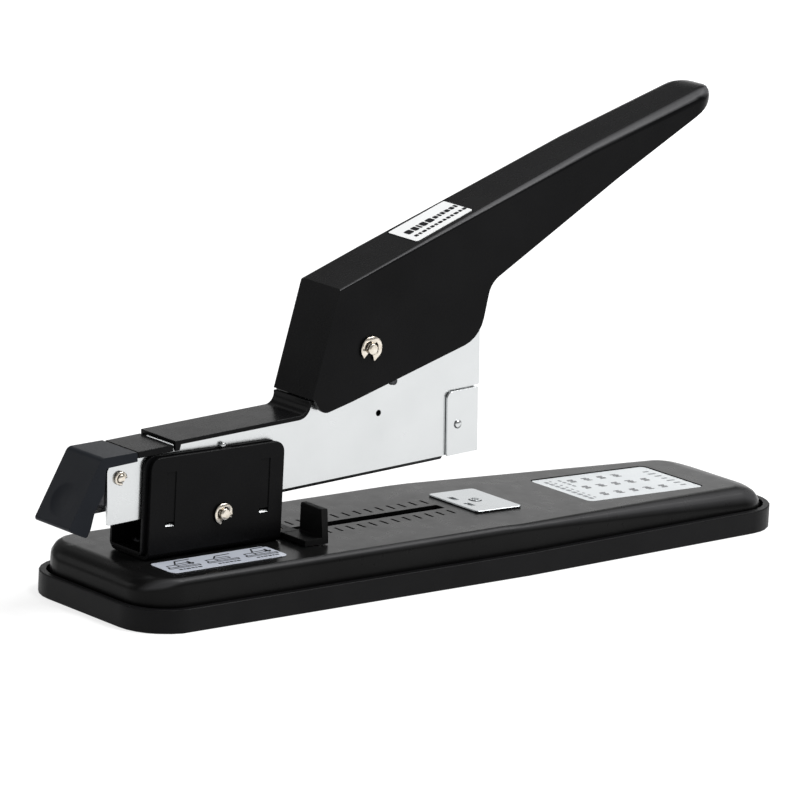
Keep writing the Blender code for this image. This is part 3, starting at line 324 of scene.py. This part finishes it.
FINISHES = {
    "black_paint": PAINT,
    "black_plastic": TRAY,
    "zinc": ZINC,
    "nickel": NICKEL,
    "spring_steel": SPRING,
    "dark_steel": DARK_STEEL,
    "label_white": DATA_FILM,
    "label_silver": SILVER_FILM,
}
OWN_FINISH = {
    "anvil_plate": ANVIL_ZINC,
    "anvil_rivet": ANVIL_ZINC,
    "base_shell": BASE_PAINT,
    "handle_shell": HANDLE_PAINT,
    "arm_cover": COVER_PAINT,
    "magazine_latch": HOOD,
    "stop_bar": STOP,
    "loading_label": GUIDE_FILM,
}

for part in frame["record"]["subparts"]:
    piece = NODES[part["node"]]
    finish = OWN_FINISH.get(part["node"], FINISHES[part["material_slot"]])
    for slot in piece.material_slots:
        slot.material = finish

# ---------------------------------------------------------------- fine edges

WELD_DISTANCE = 0.000002
FLAT_ANGLE = math.radians(0.6)
SHARP_ANGLE = math.radians(38.0)
NORMAL_WEIGHT = 60
EDGE_WIDTHS = {
    "base_tray": 0.25,
    "base_shell": 0.15,
    "bracket": 0.25,
    "bracket_liner": 0.2,
    "handle_shell": 0.45,
    "arm_channel": 0.12,
    "arm_cover": 0.3,
    "rear_cover": 0.15,
    "nose_plate": 0.12,
    "magazine_latch": 0.25,
    "stop_bar": 0.15,
    "anvil_plate": 0.1,
}


def refine(piece, width):
    """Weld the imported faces, merge flat ones and round the sharp edges a little."""
    for face in piece.data.polygons:
        face.use_smooth = True
    weld = piece.modifiers.new("weld", "WELD")
    weld.merge_threshold = WELD_DISTANCE
    if width:
        flat = piece.modifiers.new("flat", "DECIMATE")
        flat.decimate_type = "DISSOLVE"
        flat.angle_limit = FLAT_ANGLE
        edge = piece.modifiers.new("edge", "BEVEL")
        edge.width = width * MM
        edge.segments = 2
        edge.limit_method = "ANGLE"
        edge.angle_limit = SHARP_ANGLE
        edge.use_clamp_overlap = True
    normals = piece.modifiers.new("normals", "WEIGHTED_NORMAL")
    normals.keep_sharp = True
    normals.weight = NORMAL_WEIGHT


for name, piece in NODES.items():
    refine(piece, EDGE_WIDTHS.get(name, 0.0))

# ---------------------------------------------------------------- printed marks

SAME_FACE = 0.0005
HANDLE_MARGIN = 0.41
HANDLE_ROWS = (
    # start, end, y, height, lengths, gap
    (0.0, 12.4, 0.6, 3.6, (2.6, 2.0, 0.9, 2.3), 0.5),
    (13.0, 25.0, 0.6, 2.4, (1.6, 1.0, 1.4, 1.8), 0.45),
    (0.0, 25.5, -4.3, 1.7, (1.5, 1.1, 1.7, 1.2), 0.5),
)
HEADING_COLUMNS = (
    # count, x from the left edge, first y, pitch, width, height
    (9, 4.0, -12.8, 3.1, 1.7, 2.1),
    (9, 6.5, -11.9, 3.1, 0.8, 1.3),
    (4, 10.5, 4.2, 2.7, 1.1, 1.8),
)
NOTE_COLUMN = (7, 4.6, -11.0, 3.5, 1.1)
NOTE_WIDTHS = (2.6, 3.1, 3.6)
TABLE_ROWS = ((10.2, 14.0, 4), (0.8, 13.0, 5), (-9.6, 12.6, 5))
TABLE_PITCH = 7.1
TABLE_LINES = (-1.5, -0.5, 0.5, 1.5)
TABLE_BAR = (2.7, 0.55)
SIGN_SCALE = 1.2
SIGN_RISE = 1.0
SIGNS = ((0.8, True), (0.0, False), (1.2, True))
CAPTION = (-3.5, 7.0, -4.3, 0.9, (1.3, 0.9, 1.6), 0.4)
GROOVE_PITCH = 2.56
GROOVE_Z = 17.8
GROOVE_LEVEL = 0.03
GROOVE_MARGIN = 0.06
LIP_Z = 30.15
LIP_LEAN = math.radians(38.0)
LIP_INSET = 0.6
LIP_SIZE = (3.7, 1.25)
WINDOW_SHIFTS = (-22.6, 18.1)


def face_frame(node, direction):
    """Matrix on the middle of a node's flat face: X along the body, Z out of the face."""
    mesh = NODES[node].data
    toward = Vector(direction).normalized()
    best = max(p.normal.dot(toward) for p in mesh.polygons)
    chosen = [p for p in mesh.polygons if p.normal.dot(toward) > best - SAME_FACE]
    normal = sum((p.normal * p.area for p in chosen), Vector()).normalized()
    corners = [mesh.vertices[i].co for p in chosen for i in p.vertices]
    along = Vector((0.0, 1.0, 0.0)).cross(normal).normalized()
    across = normal.cross(along)
    spans = []
    for axis in (along, across, normal):
        reach = [c.dot(axis) for c in corners]
        spans.append((min(reach), max(reach)))
    middle = sum((a * (s[0] + s[1]) / 2 for a, s in zip((along, across, normal), spans)), Vector())
    turn = Matrix((along, across, normal)).transposed().to_4x4()
    size = (spans[0][1] - spans[0][0], spans[1][1] - spans[1][0])
    return Matrix.Translation(middle) @ turn, (size[0] / MM, size[1] / MM)


class Print:
    """Thin ink shapes on a flat face, drawn in millimetres from the face's middle."""

    LIFT = 0.02
    THICKNESS = 0.03

    def __init__(self, place):
        self.place = place
        self.mesh = bmesh.new()

    def outline(self, points):
        low = [self.mesh.verts.new((x, y, self.LIFT)) for x, y in points]
        high = [self.mesh.verts.new((x, y, self.LIFT + self.THICKNESS)) for x, y in points]
        self.mesh.faces.new(list(reversed(low)))
        self.mesh.faces.new(high)
        count = len(points)
        for i in range(count):
            j = (i + 1) % count
            self.mesh.faces.new((low[i], low[j], high[j], high[i]))

    def bar(self, x, y, width, height):
        """Bar with clipped corners, centred on x and y."""
        w, h = width / 2, height / 2
        c = min(w, h) * 0.35
        corners = ((w, h - c), (w - c, h), (c - w, h), (-w, h - c))
        points = [(x + a, y + b) for a, b in corners]
        points += [(x - a, y - b) for a, b in corners]
        self.outline(points)

    def stroke(self, start, end, width):
        """Straight line of even width."""
        a, b = Vector(start), Vector(end)
        side = Vector((a.y - b.y, b.x - a.x)).normalized() * width / 2
        self.outline([tuple(p) for p in (b - side, b + side, a + side, a - side)])

    def path(self, points, width):
        for a, b in zip(points, points[1:]):
            self.stroke(a, b, width)

    def finish(self, name, material, body, slot):
        bmesh.ops.recalc_face_normals(self.mesh, faces=self.mesh.faces)
        mesh = bpy.data.meshes.new(name)
        self.mesh.to_mesh(mesh)
        self.mesh.free()
        mesh.transform(Matrix.Scale(MM, 4))
        mesh.materials.append(material)
        piece = bpy.data.objects.new(name, mesh)
        piece.matrix_world = self.place
        bpy.context.scene.collection.objects.link(piece)
        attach(piece, body)
        return piece


def dashes(sheet, start, end, y, height, pattern, gap):
    """Row of short bars between two X positions, with lengths taken in turn."""
    x = start
    k = 0
    while x + pattern[k % len(pattern)] <= end:
        length = pattern[k % len(pattern)]
        sheet.bar(x + length / 2, y, length, height)
        x += length + gap
        k += 1


def handle_marks():
    """Plain bars in place of the maker's words."""
    place, size = face_frame("handle_label", (-0.3, 0.0, 1.0))
    sheet = Print(place)
    left = -size[0] * HANDLE_MARGIN
    for start, end, y, height, lengths, gap in HANDLE_ROWS:
        dashes(sheet, left + start, left + end, y, height, lengths, gap)
    sheet.finish("handle_label_marks", BLACK_INK, "handle", "label_silver")


def data_marks():
    """Table of small bars: heading bands at both ends and groups of lines between."""
    place, size = face_frame("data_label", (0.0, 0.0, 1.0))
    left, right = -size[0] / 2, size[0] / 2
    bands = Print(place)
    for count, x, y, pitch, width, height in HEADING_COLUMNS:
        for k in range(count):
            bands.bar(left + x, y + pitch * k, width, height)
    count, inset, y, pitch, height = NOTE_COLUMN
    for k in range(count):
        bands.bar(right - inset, y + pitch * k, NOTE_WIDTHS[k % len(NOTE_WIDTHS)], height)
    bands.finish("data_label_bands", GREY_INK, "base", "label_white")
    table = Print(place)
    for y, start, count in TABLE_ROWS:
        for column in range(count):
            x = left + start + TABLE_PITCH * column
            for line in TABLE_LINES:
                table.bar(x + (column + line) % 2 * 0.5, y + line, *TABLE_BAR)
    table.finish("data_label_table", TABLE_INK, "base", "label_white")


def stapler_sign(sheet, x, y, lift, arrow):
    """Small side view of a stapler with its handle raised by lift."""
    strokes = [
        (((-5.0, -1.8), (6.0, -1.8), (6.0, -2.8), (-5.0, -2.8), (-5.0, -1.8)), 0.45),
        (((-4.2, -1.6), (-4.2, 0.2), (-1.0, 0.2), (-1.0, -1.6)), 0.45),
        (((-1.0, -0.6), (4.2, -0.6 + lift * 0.3), (4.2, 0.8 + lift * 0.3), (-1.0, 0.8)), 0.45),
        (((-0.5, 1.0), (1.0, 2.6 + lift), (6.5, 3.0 + lift)), 0.6),
    ]
    if arrow:
        strokes.append((((4.6, 2.2), (4.6, -0.6)), 0.75))
        strokes.append((((3.6, 0.5), (4.6, -0.8), (5.6, 0.5)), 0.6))
    for points, width in strokes:
        sheet.path([(x + SIGN_SCALE * a, y + SIGN_SCALE * b) for a, b in points], width)


def loading_marks():
    """Three signs and a line of small bars under each."""
    place, size = face_frame("loading_label", (0.0, 0.0, 1.0))
    sheet = Print(place)
    pitch = size[0] / len(SIGNS)
    start, end, y, height, lengths, gap = CAPTION
    for k, (lift, arrow) in enumerate(SIGNS):
        x = pitch * (k - 1)
        stapler_sign(sheet, x, SIGN_RISE, lift, arrow)
        dashes(sheet, x + start, x + end, y, height, lengths, gap)
    sheet.finish("loading_label_marks", BLACK_INK, "base", "label_white")


def scale_ink():
    """Dark fill at the bottom of the graduation grooves beside the stop's slot."""
    base = NODES["base_shell"]
    grooves = {}
    for face in base.data.polygons:
        centre = base.matrix_world @ face.center
        if face.normal.z > 0.99 and abs(centre.z - GROOVE_Z * MM) < GROOVE_LEVEL * MM:
            corners = [base.matrix_world @ base.data.vertices[i].co for i in face.vertices]
            key = (round(centre.x / MM / GROOVE_PITCH), centre.y > 0.0)
            grooves.setdefault(key, []).extend(corners)
    sheet = Print(Matrix.Translation((0.0, 0.0, GROOVE_Z * MM)))
    for corners in grooves.values():
        xs = [c.x / MM for c in corners]
        ys = [c.y / MM for c in corners]
        width = max(xs) - min(xs) - GROOVE_MARGIN
        height = max(ys) - min(ys) - GROOVE_MARGIN
        sheet.bar((max(xs) + min(xs)) / 2, (max(ys) + min(ys)) / 2, width, height)
    sheet.finish("scale_ink", GROOVE_INK, "base", "black_paint")


def window_lips():
    """Bare metal on the bent lower lips of the bracket's four windows."""
    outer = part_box("bracket")[1][1] / MM
    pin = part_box("arm_pivot_pin")
    middle = (pin[0][0] + pin[1][0]) / 2 / MM
    for side, where in ((-1, "near"), (1, "far")):
        spot = Vector((middle, side * (outer - LIP_INSET), LIP_Z)) * MM
        lean = Matrix.Rotation(-side * LIP_LEAN, 4, "X")
        sheet = Print(Matrix.Translation(spot) @ lean)
        for shift in WINDOW_SHIFTS:
            sheet.bar(shift, 0.0, *LIP_SIZE)
        sheet.finish(f"bracket_window_lips_{where}", ZINC, "base", "zinc")


handle_marks()
data_marks()
loading_marks()
scale_ink()
window_lips()

# ---------------------------------------------------------------- floor and light

FLOOR_GLOW = (0.75, 0.9)
FLOOR_REACH = (450.0, 1100.0)
WORLD_STRENGTH = 0.3
FLOOR_HALF = 6.0
FLOOR_GREY = (0.35, 0.35, 0.35, 1.0)
WHITE = (1.0, 1.0, 1.0, 1.0)
SOFTBOXES = (
    # name, place, aimed at, width, height, radiance
    ("top", (0.5, 0.6, 1.8), (0.3, 0.4, 0.0), 2.2, 2.0, 0.8),
    ("handle_strip", (0.37, -0.58, 1.30), (0.07, 0.0, 0.12), 0.34, 0.90, 15.0),
    ("base_strip", (0.92, -0.37, 1.15), (0.02, 0.0, 0.02), 0.80, 0.42, 7.0),
    ("back_panel", (0.64, 0.72, 0.20), (0.05, 0.0, 0.03), 0.62, 0.40, 1.05),
    ("back_left", (-0.72, 0.90, 0.48), (-0.10, 0.0, 0.06), 0.6, 0.5, 1.3),
)


def floor():
    """Plain white table top that glows a little, so that it stays white to its far edge."""
    mesh = bpy.data.meshes.new("floor")
    bm = bmesh.new()
    bmesh.ops.create_grid(bm, x_segments=1, y_segments=1, size=FLOOR_HALF)
    bm.to_mesh(mesh)
    bm.free()
    made = bpy.data.objects.new("floor", mesh)
    bpy.context.scene.collection.objects.link(made)
    look = Look("floor_white")
    distance = look.add("ShaderNodeVectorMath")
    distance.operation = "LENGTH"
    look.link(look.place, distance.inputs[0])
    glow = look.spread(distance.outputs["Value"], *FLOOR_GLOW, *FLOOR_REACH)
    look.link(glow, look.shader.inputs["Emission Strength"])
    look.set(
        Base_Color=FLOOR_GREY,
        Roughness=0.9,
        Specular_IOR_Level=0.0,
        Emission_Color=WHITE,
    )
    mesh.materials.append(look.material)


def softbox(name, location, target, width, height, radiance):
    """Rectangular area light of even radiance, aimed at a point and hidden from the camera."""
    data = bpy.data.lights.new(name, "AREA")
    data.shape = "RECTANGLE"
    data.size = width
    data.size_y = height
    data.energy = radiance * math.pi * width * height
    lamp = bpy.data.objects.new(name, data)
    lamp.location = location
    lamp.rotation_mode = "QUATERNION"
    aim = Vector(target) - Vector(location)
    lamp.rotation_quaternion = aim.to_track_quat("-Z", "Y")
    lamp.visible_camera = False
    bpy.context.scene.collection.objects.link(lamp)


def studio():
    """Dim surroundings, a wide box overhead, two strips for the edges and two panels behind."""
    world = bpy.data.worlds.new("studio")
    world.use_nodes = True
    bpy.context.scene.world = world
    world.node_tree.nodes["Background"].inputs["Color"].default_value = WHITE
    world.node_tree.nodes["Background"].inputs["Strength"].default_value = WORLD_STRENGTH
    for box in SOFTBOXES:
        softbox(*box)


floor()
studio()
bpy.context.scene.view_settings.view_transform = "Standard"
